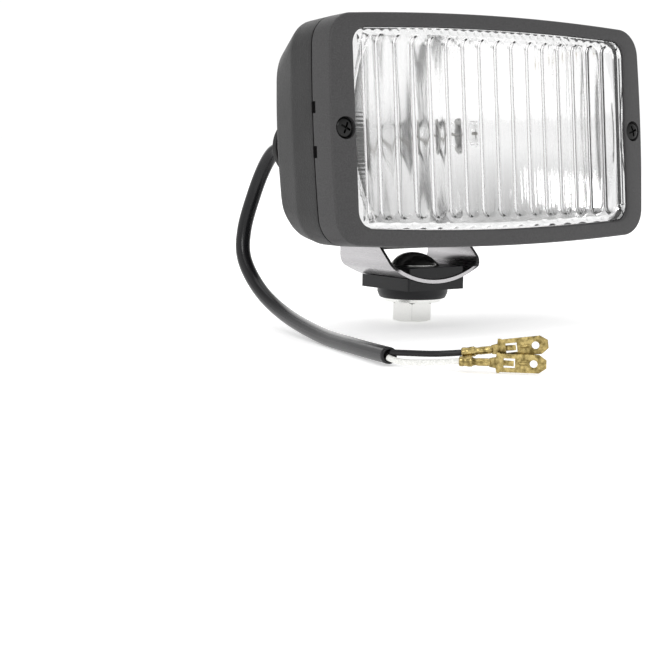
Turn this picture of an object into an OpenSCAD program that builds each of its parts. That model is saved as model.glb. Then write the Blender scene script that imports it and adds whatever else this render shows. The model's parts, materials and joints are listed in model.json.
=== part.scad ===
// Rectangular fog lamp on a bent steel strap.
// Units are millimetres. The origin is on the mounting bolt's axis, on the seat plane
// under the lower saddle. X runs along the lamp's width, the lens faces -Y, Z is up.
// The lamp head is drawn in its own frame and then tilted about the pivot bolts.

/* [Lamp head] */
// Overall width of the head
head_width = 169.4; // [150:0.2:190]
// Overall height of the head
head_height = 91.8; // [80:0.2:105]
// Depth of the front frame, from its front face to the seam
frame_depth = 12.5; // [9:0.5:16]
// Backward tilt of the head on the bracket
rest_tilt = 5; // [-5:1:15]
// Wall thickness of the housing
wall = 2.5; // [2:0.1:3.5]
// Width of the lens opening
opening_width = 147.2; // [130:0.2:150]
// Height of the lens opening
opening_height = 79.4; // [70:0.2:82]
// Number of flutes across the lens
flute_count = 16; // [10:2:20]

/* [Bracket] */
// Outside width across the bracket's two ears
ear_span = 51; // [50:0.5:56]
// Thickness of the steel strap
strap_t = 1.5; // [1.2:0.1:2]
// Outer radius of the curved base
base_radius = 46; // [44:0.5:50]
// Radius of the rounded end of each ear
ear_radius = 10.5; // [9.5:0.1:11.5]

/* [Fastenings] */
// Diameter of the mounting bolt
bolt_d = 10; // [8:1:12]
// Width across flats of the mounting nut
nut_flats = 16; // [13:1:19]
// Diameter of the two pivot bolts
pivot_d = 8; // [6:1:8]
// Width across flats of the pivot bolts' heads
pivot_flats = 13; // [10:1:13]

/* [Cable] */
// Diameter of the cable's sheath
sheath_d = 6; // [5:0.5:7]
// Diameter of each wire
wire_d = 2.2; // [1.8:0.1:2.5]

/* [Hidden] */
$fn = 64;
half_w = head_width / 2;
half_h = head_height / 2;
open_w = opening_width / 2;
open_h = opening_height / 2;
// Pivot axis in the head's own frame and in the frame of the whole lamp
pivot_l = [0, 62.3, -36];
pivot_w = [0, 7.5, 30.6];
crown = 1.7;
frame_crown = 2.2;
side_crown = 0.8;
frame_r = 11.5;
head_drop = -0.5;
rear_crown = 1.2;
rear_r = 16;
rear_r_low = 18;
mid_y = 28;
mid_half_w = 82.4;
mid_half_h = 44.6;
mid_crown = 1.2;
mid_r_low = 14;
rear_half_w = 77.6;
rear_top = 38;
rear_bottom = -41;
rear_y = 40;
dome_r = 150;
dome_y = 68;
hump_y = 71;
trunk_x = 22.6;
trunk_r = 10.4;
scoop_r1 = 22.5;
scoop_r2 = 14;
screw_x = 78.4;
boss_r = 3.2;
recess_r = 4.3;
screw_floor = 2.4;
slot_z = 8.4;
lens_y = 1.2;
lip_back = 3;
lens_back = 4.2;
seal_back = 5.8;
flute_rise = 1.8;
flute_r = 5.2;
apex_y = 44;
focal = 34;
refl_w = 74;
refl_h = 38.2;
refl_t = 1.2;
vent_pos = [67.5, 0, -2.5];
grommet_pos = [-60.5, 0, -4];
pocket_y = 53;
ear_in = ear_span / 2 - strap_t;
ear_out = ear_span / 2;
base_z = 53.1;
bend_r = 6;
bend_x = ear_out - bend_r;
bend_z = base_z - sqrt(pow(base_radius - bend_r, 2) - bend_x * bend_x);
slide_gap = 0.3;
slot_half = 5;
saddle_w = 31;
saddle_top = 13.8;
block_z = 4.2;
sheath_end = [-98.4, -102.4, -6.4];
heading = -47.7;
// Route of the sheath from the grommet to its cut end
sheath_route = [
  [-60.5, 11.5, 62.4], [-60.6, 18.5, 61.2], [-61.1, 24.6, 54.6], [-63.4, 28.4, 43.6],
  [-67.6, 29.2, 29], [-70, 25.5, 17], [-70, 14, 5], [-73, -8, -3],
  [-81, -41, -6.9], [-90.6, -74, -6.9], sheath_end
];
white_route = [
  [-98.8, -102.2, -7.1], [-97.2, -108, -8], [-92.8, -117.6, -7.4], [-86.8, -125.8, -6.4]
];
black_route = [
  [-97.8, -102.6, -5.3], [-95, -109, -5], [-90.4, -117.4, -4.6], [-84.4, -124.4, -3.8]
];
live_route = [
  [-60.5, 52, -2.6], [-60.5, 46.5, -2.6], [-56, 43, -2], [-44, 45, 0],
  [-26, 51, 2], [-10, 53.5, 2], [-3, 54, 2]
];
ground_route = [
  [-60.5, 52, -5.4], [-60.5, 46.5, -5.4], [-56, 43, -5.4], [-44, 45, -4],
  [-26, 51, -2], [-10, 53.5, -2], [-3, 54, -2]
];

// ---- shared shapes ----

// n + 1 points on an arc about c, from angle a0 to a1
function arc_pts(c, r, a0, a1, n) =
  [for (i = [0:n]) let (a = a0 + (a1 - a0) * i / n) c + r * [cos(a), sin(a)]];

// Rounded rectangle whose top and bottom edges rise by crown_h in the middle, and whose sides
// swell by crown_w.
// Its two lower corners may have a radius of their own.
function crowned(hw, hh, crown_h, r, crown_w = 0, r_low = 0) =
  let (q = r_low > 0 ? r_low : r, side = hw - crown_w, edge = hh - crown_h, m = 9, k = 4)
  concat(
    arc_pts([side - r, edge - r], r, 0, 90, 8),
    [for (j = [1:m - 1]) let (t = 1 - 2 * j / m) [(side - r) * t, hh - crown_h * t * t]],
    arc_pts([r - side, edge - r], r, 90, 180, 8),
    [for (j = [1:k - 1]) let (t = 1 - 2 * j / k)
      [-hw + crown_w * t * t, (q - r) / 2 + (edge - (q + r) / 2) * t]],
    arc_pts([q - side, q - edge], q, 180, 270, 8),
    [for (j = [1:m - 1]) let (t = 1 - 2 * j / m) [(q - side) * t, -hh + crown_h * t * t]],
    arc_pts([side - q, q - edge], q, 270, 360, 8),
    [for (j = [1:k - 1]) let (t = 1 - 2 * j / k)
      [hw - crown_w * t * t, (q - r) / 2 - (edge - (q + r) / 2) * t]]
  );

// Extrudes an outline drawn in X and Z from y0 to y1
module slab(y0, y1) {
  translate([0, y1, 0]) rotate([90, 0, 0]) linear_extrude(y1 - y0) children();
}

// Turns a shape drawn about the Z axis so that it lies along +Y
module along_y() {
  rotate([-90, 0, 0]) children();
}

module along_x() {
  rotate([0, 90, 0]) children();
}

module in_head() {
  translate(pivot_w) rotate([-rest_tilt, 0, 0]) translate(-pivot_l) children();
}

module both_sides() {
  children();
  mirror([1, 0, 0]) children();
}

function unit(v) = v / norm(v);

function spline(a, b, c, d, t) =
  0.5 * (2 * b + (c - a) * t + (2 * a - 5 * b + 4 * c - d) * t * t + (3 * b - a - 3 * c + d) * t * t * t);

function smooth(p, k) =
  let (n = len(p))
  concat(
    [for (i = [0:n - 2]) for (j = [0:k - 1])
      spline(p[max(i - 1, 0)], p[i], p[i + 1], p[min(i + 2, n - 1)], j / k)],
    [p[n - 1]]
  );

// Round tube along a smooth path through the points p; side is any direction the path never takes
module tube(p, d, k, side, sides = 10) {
  q = smooth(p, k);
  n = len(q);
  along = [for (i = [0:n - 1]) unit(q[min(i + 1, n - 1)] - q[max(i - 1, 0)])];
  u = [for (t = along) unit(side - (side * t) * t)];
  pts = [for (i = [0:n - 1]) for (j = [0:sides - 1])
    q[i] + d / 2 * (cos(360 * j / sides) * u[i] + sin(360 * j / sides) * cross(along[i], u[i]))];
  walls = [for (i = [0:n - 2]) for (j = [0:sides - 1])
    let (a = i * sides + j, b = i * sides + (j + 1) % sides)
    for (f = [[a, a + sides, b], [b, a + sides, b + sides]]) f];
  first = [for (j = [0:sides - 1]) j];
  last = [for (j = [0:sides - 1]) n * sides - 1 - j];
  polyhedron(points = pts, faces = concat(walls, [first, last]));
}

// ---- front of the head ----

// The head's outline at the seam, drawn in by inset
module head_outline(inset) {
  translate([0, head_drop])
    polygon(crowned(half_w - inset, half_h - inset, frame_crown, frame_r - inset, side_crown));
}

module front_frame() {
  color([0.13, 0.13, 0.135]) in_head() difference() {
    hull() {
      slab(0, 0.4) head_outline(1.6);
      slab(1.8, frame_depth - 0.1) head_outline(0);
    }
    slab(-1, frame_depth + 1) polygon(crowned(open_w, open_h, crown, 7));
    difference() {
      slab(lip_back, frame_depth + 1) head_outline(wall + 0.3);
      both_sides() translate([screw_x, 0, 0]) along_y() cylinder(r = boss_r, h = frame_depth);
    }
    both_sides() translate([screw_x, -1, 0]) along_y() cylinder(r = recess_r, h = 1 + screw_floor);
    both_sides() translate([screw_x, 0, 0]) along_y() cylinder(r = 2.15, h = frame_depth + 1);
    both_sides() for (z = [-slot_z, slot_z])
      translate([half_w - 1.2, frame_depth - 2.1, z - 2.25]) cube([3, 4, 4.5]);
  }
}

module lens() {
  pitch = 2 * (open_w - 3.2) / flute_count;
  color([0.93, 0.95, 0.96, 0.4]) in_head() union() {
    slab(lens_y, lip_back + 0.2) polygon(crowned(open_w - 0.3, open_h - 0.3, crown, 6.7));
    slab(lip_back + 0.05, lens_back) polygon(crowned(74.9, 41.2, crown, 8));
    intersection() {
      for (i = [0:flute_count - 1])
        translate([(i - (flute_count - 1) / 2) * pitch, lens_back + flute_rise - flute_r, -50])
          cylinder(r = flute_r, h = 100, $fn = 96);
      slab(lens_y + 1, lens_back + flute_rise + 1) polygon(crowned(open_w - 3.2, 36.5, crown, 5));
    }
  }
}

module lens_seal() {
  color([0.05, 0.05, 0.05]) in_head() difference() {
    slab(lens_back, seal_back) polygon(crowned(74.7, 41, crown, 8));
    slab(lens_y, seal_back + 1) polygon(crowned(open_w, open_h, crown, 7));
  }
}

module frame_screws() {
  color([0.10, 0.10, 0.10]) in_head() both_sides() translate([screw_x, 0, 0]) difference() {
    union() {
      intersection() {
        translate([0, 0.2, 0]) along_y() cylinder(r = 3.95, h = screw_floor - 0.2);
        translate([0, 7.6, 0]) sphere(r = 8, $fn = 96);
      }
      translate([0, screw_floor - 0.3, 0]) along_y() cylinder(r = 1.95, h = 20);
    }
    translate([-2.2, -1, -0.45]) cube([4.4, 2.3, 0.9]);
    translate([-0.45, -1, -2.2]) cube([0.9, 2.3, 4.4]);
  }
}

// ---- light unit ----

function bowl_y(r, lift) = apex_y + lift - r * r / (4 * focal);

module bowl(lift, hw, hh, r, y0) {
  intersection() {
    along_y() rotate_extrude($fn = 96)
      polygon(concat([[0, -40]], [for (i = [0:14]) [i * 6.5, bowl_y(i * 6.5, lift)]], [[91, -40]]));
    slab(y0, 70) polygon(crowned(hw, hh, crown, r));
  }
}

module reflector() {
  color([0.9, 0.9, 0.92]) in_head() difference() {
    union() {
      bowl(refl_t, refl_w, refl_h, 8, seal_back + 0.1);
      slab(seal_back + 0.1, seal_back + 1.3) polygon(crowned(74.7, 41, crown, 8));
      translate([0, apex_y - 4, 0]) along_y() cylinder(r = 9.5, h = 6);
    }
    bowl(0, refl_w - refl_t, refl_h - refl_t, 6.8, 5);
    translate([0, apex_y - 10, 0]) along_y() cylinder(r = 7.2, h = 20);
  }
}

module bulb_glass() {
  color([0.95, 0.96, 0.98, 0.35]) in_head() translate([0, apex_y, 0]) difference() {
    union() {
      translate([0, -20, 0]) along_y() cylinder(r = 5, h = 18.8);
      translate([0, -20, 0]) sphere(r = 5);
    }
    translate([0, -20, 0]) along_y() cylinder(r = 4.2, h = 17);
    translate([0, -20, 0]) sphere(r = 4.2);
    both_sides() translate([2.2, -4, 0]) along_y() cylinder(r = 0.4, h = 5);
  }
}

module bulb_filament() {
  color([0.55, 0.52, 0.48]) in_head() translate([0, apex_y, 0]) {
    translate([-2.4, -17, 0]) along_x() cylinder(r = 0.7, h = 4.8);
    both_sides() translate([2.2, -17, 0]) along_y() cylinder(r = 0.35, h = 15);
  }
}

module bulb_base() {
  color([0.72, 0.72, 0.70]) in_head() translate([0, apex_y, 0]) difference() {
    union() {
      translate([0, -3.1, 0]) along_y() cylinder(r = 7, h = 9.1);
      translate([0, 2.1, 0]) along_y() cylinder(r = 9.3, h = 1.2);
    }
    translate([0, -4, 0]) along_y() cylinder(r = 5.1, h = 3);
  }
}

module bulb_clip() {
  color([0.65, 0.66, 0.66]) in_head() translate([0, apex_y, 0]) difference() {
    translate([0, 3.4, 0]) along_y() cylinder(r = 9.3, h = 1);
    translate([0, 3, 0]) along_y() cylinder(r = 7.1, h = 2);
    translate([-20, 2, 6]) cube([40, 4, 10]);
  }
}

module bulb_connector() {
  color([0.85, 0.84, 0.78]) in_head() translate([-3, apex_y + 6.1, -5]) cube([6, 5.4, 10]);
}

module live_lead() {
  color([0.06, 0.06, 0.06]) in_head() tube(live_route, wire_d, 4, [0, 0, 1], 8);
}

module ground_lead() {
  color([0.85, 0.85, 0.83]) in_head() tube(ground_route, wire_d, 4, [0, 0, 1], 8);
}

// ---- rear housing ----

// The tapered body with its curved back; inset shrinks it evenly for the inside
module shell(inset) {
  top = rear_top - inset;
  bottom = rear_bottom + inset;
  mid = (top + bottom) / 2;
  hull() {
    slab(frame_depth, frame_depth + 0.4) head_outline(inset);
    slab(mid_y, mid_y + 0.4)
      polygon(crowned(
        mid_half_w - inset, mid_half_h - inset, mid_crown, frame_r - inset, side_crown, mid_r_low - inset
      ));
    intersection() {
      slab(rear_y, 80) translate([0, mid])
        polygon(crowned(
          rear_half_w - inset, (top - bottom) / 2, rear_crown, rear_r - inset, rear_crown, rear_r_low - inset
        ));
      translate([0, dome_y - dome_r, -60]) cylinder(r = dome_r - inset, h = 120, $fn = 128);
    }
  }
}

module scoops(grow) {
  both_sides() translate([trunk_x + 0.01 - grow, pivot_l[1], pivot_l[2]]) along_x()
    cylinder(r1 = scoop_r1 + grow, r2 = scoop_r2 + grow, h = 60 + grow, $fn = 96);
}

module hump_panel() {
  hull() {
    slab(60, 60.5) translate([0, -6]) polygon(crowned(38.5, 33.5, 1.5, 17));
    slab(hump_y - 0.6, hump_y) translate([0, -8.6]) polygon(crowned(27.8, 27.5, 2, 11));
  }
}

module trunk() {
  translate([-trunk_x, pivot_l[1], pivot_l[2]]) along_x() cylinder(r = trunk_r, h = 2 * trunk_x, $fn = 96);
  translate([-trunk_x, 52, pivot_l[2]]) cube([2 * trunk_x, hump_y - 52, 22]);
}

module rear_housing() {
  color([0.15, 0.15, 0.155]) in_head() difference() {
    union() {
      difference() {
        union() {
          shell(0);
          hump_panel();
        }
        scoops(0);
        difference() {
          shell(wall);
          scoops(wall);
          trunk();
        }
      }
      trunk();
      both_sides() translate([trunk_x - 1, pivot_l[1], pivot_l[2]]) along_x()
        cylinder(r = 8.5, h = ear_in - 0.15 - trunk_x + 1);
      both_sides() translate([screw_x, frame_depth + 0.1, 0]) along_y() cylinder(r = boss_r, h = 14);
      translate([vent_pos[0], 44, vent_pos[2]]) along_y() cylinder(r = 10, h = 10.5);
      translate([vent_pos[0], 50, vent_pos[2]]) along_y() cylinder(r = 4.6, h = 13);
    }
    slab(frame_depth - 5, frame_depth + 0.5) head_outline(wall);
    slab(hump_y - 1.2, hump_y + 5) union() {
      translate([-15, -60]) square([30, 40]);
      translate([-10, -25]) square([20, 10.4]);
      translate([-10, -20]) circle(r = 5);
      translate([10, -20]) circle(r = 5);
    }
    translate([vent_pos[0], 54.5, vent_pos[2]]) along_y() difference() {
      cylinder(r = 12, h = 12);
      cylinder(r = 4.6, h = 12);
    }
    translate([vent_pos[0], 40, vent_pos[2]]) along_y() cylinder(r = 2.6, h = 30);
    translate([grommet_pos[0], pocket_y, grommet_pos[2]]) along_y() cylinder(r = 12.6, h = 16);
    translate([grommet_pos[0], 40, grommet_pos[2]]) along_y() cylinder(r = 6.2, h = 30);
    both_sides() translate([10, pivot_l[1], pivot_l[2]]) along_x() cylinder(r = 4.15, h = 20);
    both_sides() translate([13.5, pivot_l[1], pivot_l[2]]) along_x()
      cylinder(r = pivot_flats / sqrt(3) + 0.05, h = 6.7, $fn = 6);
    both_sides() translate([screw_x, frame_depth - 1, 0]) along_y() cylinder(r = 1.98, h = 12);
  }
}

module pivot_nuts() {
  color([0.75, 0.76, 0.77]) in_head() both_sides()
    translate([13.6, pivot_l[1], pivot_l[2]]) along_x() difference() {
      cylinder(r = pivot_flats / sqrt(3), h = 6.5, $fn = 6);
      translate([0, 0, -1]) cylinder(r = pivot_d / 2 + 0.03, h = 9);
    }
}

module pivot_bolts() {
  color([0.80, 0.81, 0.82]) in_head() both_sides()
  translate([0, pivot_l[1], pivot_l[2]]) along_x() difference() {
    union() {
      translate([0, 0, 11]) cylinder(r = pivot_d / 2, h = ear_out - 10.5);
      translate([0, 0, ear_out + 0.15]) intersection() {
        rotate(12) cylinder(r = pivot_flats / sqrt(3), h = 5.3, $fn = 6);
        translate([0, 0, -9]) sphere(r = 15.6, $fn = 96);
      }
    }
    translate([0, 0, ear_out + 5.05]) cylinder(r = 5.2, h = 2);
  }
}

// ---- vent and grommet ----

module vent_boss_ring() {
  color([0.03, 0.03, 0.03]) in_head() translate([vent_pos[0], 54.5, vent_pos[2]]) along_y() difference() {
    cylinder(r = 10.9, h = 2.6);
    translate([0, 0, -1]) cylinder(r = 4.7, h = 5);
  }
}

module vent_cap() {
  color([0.16, 0.16, 0.165]) in_head() translate([vent_pos[0], 57.1, vent_pos[2]]) along_y() difference() {
    union() {
      cylinder(r1 = 10.6, r2 = 9.6, h = 10.8);
      translate([0, 0, 10.8]) cylinder(r1 = 9.6, r2 = 8.8, h = 0.8);
      for (a = [0, 90, 180, 270]) rotate(a) translate([8.9, -2.5, 0]) cube([2, 5, 5]);
    }
    translate([0, 0, -1]) cylinder(r = 7.6, h = 9.6);
    translate([0, 0, 11.1]) cylinder(r = 1.2, h = 2);
  }
}

module vent_membrane() {
  color([0.86, 0.86, 0.84]) in_head() translate([vent_pos[0], 63.1, vent_pos[2]]) along_y()
    cylinder(r = 4.6, h = 0.8);
}

module cable_grommet() {
  color([0.05, 0.05, 0.05]) in_head() translate([grommet_pos[0], 0, grommet_pos[2]]) along_y() difference() {
    union() {
      translate([0, 0, pocket_y]) cylinder(r = 12.1, h = 2.4);
      translate([0, 0, pocket_y + 2.4]) cylinder(r1 = 12.1, r2 = 8.4, h = 2.2);
      translate([0, 0, pocket_y + 4.6]) cylinder(r1 = 8.4, r2 = 7.8, h = 4);
      translate([0, 0, pocket_y + 8.6]) cylinder(r1 = 7.8, r2 = 5.4, h = 1.9);
      translate([0, 0, 49.6]) cylinder(r = 6.1, h = 5);
    }
    translate([0, 0, 56.5]) cylinder(r = sheath_d / 2 + 0.1, h = 10);
    translate([0, 0, 45]) cylinder(r = 3.2, h = 9);
  }
}

// ---- bracket ----

// Half of one surface of the strap, set in from its outer side by t, from the middle of the base up
function strap_line(t) =
  let (a = atan2(bend_z - base_z, bend_x))
  concat(
    arc_pts([0, base_z], base_radius - t, -90, a, 20),
    arc_pts([bend_x, bend_z], bend_r - t, a + 5, 0, 12),
    [[ear_out - t, bend_z + 29]]
  );

function flipped(line) = [for (i = [len(line) - 1:-1:0]) [-line[i][0], line[i][1]]];

function backwards(line) = [for (i = [len(line) - 1:-1:0]) line[i]];

// The strap's section, a curved base with two upright ears
module strap_section() {
  polygon(concat(
    flipped(strap_line(0)), strap_line(0),
    backwards(strap_line(strap_t)), backwards(flipped(strap_line(strap_t)))
  ));
}

module ear_outline() {
  polygon(concat(
    arc_pts([pivot_w[1], pivot_w[2]], ear_radius, 0, 180, 36),
    [[-3, 27.6], [-13.4, 17.6], [-16, 13.5], [-16, 0], [17, 0], [17, 11], [pivot_w[1] + ear_radius, 14]]
  ));
}

module bracket() {
  color([0.78, 0.78, 0.79]) difference() {
    intersection() {
      slab(-30, 30) strap_section();
      rotate([90, 0, 90]) translate([0, 0, -40]) linear_extrude(80) ear_outline();
    }
    translate([-40, pivot_w[1], pivot_w[2]]) along_x() cylinder(r = pivot_d / 2 + 0.06, h = 80, $fn = 96);
    both_sides() translate([slot_half, 0, 0]) cylinder(r = bolt_d / 2 + 0.5, h = 14);
    translate([-slot_half, -bolt_d / 2 - 0.5, 0]) cube([2 * slot_half, bolt_d + 1, 14]);
  }
}

module upper_saddle() {
  color([0.12, 0.12, 0.12]) difference() {
    translate([-saddle_w / 2 + 0.5, -saddle_w / 2, 8]) cube([saddle_w - 1, saddle_w, saddle_top - 8]);
    difference() {
      translate([-30, -30, 0]) cube([60, 60, 20]);
      translate([0, 40, base_z]) rotate([90, 0, 0])
        cylinder(r = base_radius - strap_t - slide_gap, h = 80, $fn = 180);
    }
    cylinder(r = bolt_d / 2 + 0.05, h = 30);
  }
}

module lower_saddle() {
  color([0.12, 0.12, 0.12]) difference() {
    union() {
      translate([-saddle_w / 2, -saddle_w / 2, block_z]) cube([saddle_w, saddle_w, 8]);
      cylinder(r1 = 14, r2 = 15, h = 2.2);
      translate([0, 0, 2.2]) cylinder(r = 15, h = 3);
    }
    translate([0, 40, base_z]) rotate([90, 0, 0]) cylinder(r = base_radius + slide_gap, h = 80, $fn = 180);
    translate([0, 0, -1]) cylinder(r = bolt_d / 2 + 0.05, h = 30);
    translate([0, 0, -1]) cylinder(r = 12.7, h = 1.2);
  }
}

module carriage_bolt() {
  head_r = 11.2;
  rise = 5;
  ball = (head_r * head_r + rise * rise) / (2 * rise);
  color([0.80, 0.81, 0.82]) union() {
    translate([0, 0, -9.4]) cylinder(r = bolt_d / 2, h = 24);
    translate([0, 0, saddle_top]) intersection() {
      translate([0, 0, 0.5 + rise - ball]) sphere(r = ball, $fn = 128);
      cylinder(r = head_r, h = 10);
    }
  }
}

module flat_washer() {
  color([0.80, 0.81, 0.82]) translate([0, 0, -1.5]) difference() {
    cylinder(r = 12.5, h = 1.6);
    translate([0, 0, -1]) cylinder(r = 5.3, h = 4);
  }
}

module hex_nut() {
  color([0.82, 0.83, 0.84]) translate([0, 0, -9.9]) difference() {
    intersection() {
      rotate(-10.9) cylinder(r = nut_flats / sqrt(3), h = 8.4, $fn = 6);
      translate([0, 0, 4.2]) sphere(r = 9.75, $fn = 96);
    }
    translate([0, 0, -1]) cylinder(r = bolt_d / 2 + 0.03, h = 12);
  }
}

// ---- cable ----

module cable_sheath() {
  color([0.06, 0.06, 0.06]) tube(sheath_route, sheath_d, 4, [1, 0, 0]);
}

module wire_black() {
  color([0.06, 0.06, 0.06]) tube(black_route, wire_d, 4, [0, 0, 1], 8);
}

module wire_white() {
  color([0.92, 0.92, 0.90]) tube(white_route, wire_d, 4, [0, 0, 1], 8);
}

// Blade terminal along +X with its crimp starting at the origin
module blade_terminal() {
  difference() {
    union() {
      along_x() cylinder(r = 1.75, h = 4.6);
      translate([4.4, 0, 0]) along_x() cylinder(r = 1.35, h = 6.4);
      translate([10, -0.4, -1.6]) cube([3, 0.8, 3.2]);
      translate([12, -0.4, -3.5]) cube([0.9, 0.8, 7]);
      translate([0, 0.4, 0]) rotate([90, 0, 0]) linear_extrude(0.8)
        polygon([
          [10.5, -1.4], [13, -3.15], [27, -3.15], [29.5, -1.4],
          [29.5, 1.4], [27, 3.15], [13, 3.15], [10.5, 1.4]
        ]);
      translate([15, -1.1, -0.7]) cube([3.4, 1.5, 1.4]);
    }
    translate([-1, 0, 0]) along_x() cylinder(r = wire_d / 2 + 0.02, h = 5);
    translate([25.2, 2, 0]) rotate([90, 0, 0]) cylinder(r = 1.3, h = 4);
    translate([13.4, -2, -1.3]) cube([1.7, 4, 2.6]);
  }
}

module terminal_white() {
  color([0.76, 0.62, 0.32]) translate([-86.9, -125.8, -6.4]) rotate([0, 0, heading]) blade_terminal();
}

module terminal_black() {
  color([0.76, 0.62, 0.32]) translate([-84.5, -124.4, -3.8]) rotate([0, 0, heading]) rotate([0, -8, 0])
    blade_terminal();
}

front_frame();
lens();
lens_seal();
frame_screws();
reflector();
bulb_glass();
bulb_filament();
bulb_base();
bulb_clip();
bulb_connector();
live_lead();
ground_lead();
rear_housing();
pivot_nuts();
pivot_bolts();
vent_boss_ring();
vent_cap();
vent_membrane();
cable_grommet();
bracket();
upper_saddle();
lower_saddle();
carriage_bolt();
flat_washer();
hex_nut();
cable_sheath();
wire_black();
wire_white();
terminal_black();
terminal_white();
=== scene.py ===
import bpy
import bmesh
import json
from math import acos, atan2, cos, pi, radians, sin, sqrt
from mathutils import Matrix, Vector


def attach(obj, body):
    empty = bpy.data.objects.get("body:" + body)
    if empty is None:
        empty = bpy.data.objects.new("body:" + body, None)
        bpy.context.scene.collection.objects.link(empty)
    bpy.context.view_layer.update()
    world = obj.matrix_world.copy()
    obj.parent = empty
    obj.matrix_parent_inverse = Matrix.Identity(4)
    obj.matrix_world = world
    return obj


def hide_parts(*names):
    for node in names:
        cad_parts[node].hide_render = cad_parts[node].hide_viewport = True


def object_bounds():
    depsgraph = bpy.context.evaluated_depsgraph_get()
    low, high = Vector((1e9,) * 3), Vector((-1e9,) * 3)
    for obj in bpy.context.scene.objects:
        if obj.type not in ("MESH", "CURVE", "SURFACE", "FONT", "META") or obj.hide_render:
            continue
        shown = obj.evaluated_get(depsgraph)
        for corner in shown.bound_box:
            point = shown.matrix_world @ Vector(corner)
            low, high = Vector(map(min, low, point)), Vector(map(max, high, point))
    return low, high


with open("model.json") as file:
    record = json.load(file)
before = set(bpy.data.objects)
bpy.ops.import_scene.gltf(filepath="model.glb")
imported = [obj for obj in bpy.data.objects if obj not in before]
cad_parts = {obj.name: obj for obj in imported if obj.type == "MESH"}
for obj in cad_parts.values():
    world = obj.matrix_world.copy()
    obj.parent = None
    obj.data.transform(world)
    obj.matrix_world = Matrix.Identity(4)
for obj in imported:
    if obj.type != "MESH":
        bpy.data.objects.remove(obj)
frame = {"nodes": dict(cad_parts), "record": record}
cad_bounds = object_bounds()

# ---------------------------------------------------------------- frames
# The head is drawn in its own frame, in millimetres: X across, Y from the bezel's face to the back, Z up.
REST_TILT = radians(5)
PIVOT_L = Vector((0, 62.3, -36))
PIVOT_W = Vector((0, 7.5, 30.6))
HEAD = (
    Matrix.Scale(0.001, 4)
    @ Matrix.Translation(PIVOT_W)
    @ Matrix.Rotation(-REST_TILT, 4, "X")
    @ Matrix.Translation(-PIVOT_L)
)
MM = Matrix.Scale(0.001, 4)


# ---------------------------------------------------------------- materials
def tree(name):
    m = bpy.data.materials.new(name)
    m.use_nodes = True
    nt = m.node_tree
    return m, nt, nt.nodes["Principled BSDF"]


def node(nt, kind, **values):
    n = nt.nodes.new(kind)
    for k, v in values.items():
        if k in n.inputs:
            n.inputs[k].default_value = v
        else:
            setattr(n, k, v)
    return n


def link(nt, a, out, b, into):
    nt.links.new(a.outputs[out], b.inputs[into])


def plastic(name, color, rough, grain, depth, spread=0.06, mottle=0.16):
    """Moulded plastic: fine grain as a bump and a faint mottle, and a slight unevenness of shine."""
    m, nt, p = tree(name)
    p.inputs["Specular IOR Level"].default_value = 0.32
    at = node(nt, "ShaderNodeTexCoord")
    fine = node(nt, "ShaderNodeTexNoise", Scale=grain, Detail=3.0, Roughness=0.6)
    wide = node(nt, "ShaderNodeTexNoise", Scale=60.0, Detail=2.0)
    link(nt, at, "Object", fine, "Vector")
    link(nt, at, "Object", wide, "Vector")
    shade = node(nt, "ShaderNodeValToRGB")
    for end, place, k in ((0, 0.3, 1 - mottle), (1, 0.7, 1 + mottle)):
        shade.color_ramp.elements[end].position = place
        shade.color_ramp.elements[end].color = (*(c * k for c in color), 1)
    link(nt, fine, "Fac", shade, "Fac")
    link(nt, shade, "Color", p, "Base Color")
    bump = node(nt, "ShaderNodeBump", Strength=depth, Distance=0.0002)
    link(nt, fine, "Fac", bump, "Height")
    link(nt, bump, "Normal", p, "Normal")
    ramp = node(nt, "ShaderNodeMapRange")
    ramp.inputs["To Min"].default_value = rough - spread
    ramp.inputs["To Max"].default_value = rough + spread
    link(nt, wide, "Fac", ramp, "Value")
    link(nt, ramp, "Result", p, "Roughness")
    return m


def brass(name):
    """Stamped brass sheet: mottled and slightly tarnished, with shallow dents from the tool."""
    m, nt, p = tree(name)
    p.inputs["Metallic"].default_value = 1
    at = node(nt, "ShaderNodeTexCoord")
    cloud = node(nt, "ShaderNodeTexNoise", Scale=420.0, Detail=5.0, Roughness=0.65)
    dents = node(nt, "ShaderNodeTexNoise", Scale=260.0, Detail=2.0)
    link(nt, at, "Object", cloud, "Vector")
    link(nt, at, "Object", dents, "Vector")
    shade = node(nt, "ShaderNodeValToRGB")
    stops = shade.color_ramp.elements
    stops[0].position, stops[0].color = 0.36, (0.13, 0.095, 0.03, 1)
    stops[1].position, stops[1].color = 0.62, (0.56, 0.44, 0.18, 1)
    link(nt, cloud, "Fac", shade, "Fac")
    link(nt, shade, "Color", p, "Base Color")
    shine = node(nt, "ShaderNodeMapRange")
    shine.inputs["To Min"].default_value = 0.42
    shine.inputs["To Max"].default_value = 0.16
    link(nt, cloud, "Fac", shine, "Value")
    link(nt, shine, "Result", p, "Roughness")
    bump = node(nt, "ShaderNodeBump", Strength=0.35, Distance=0.0004)
    link(nt, dents, "Fac", bump, "Height")
    link(nt, bump, "Normal", p, "Normal")
    return m


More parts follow.
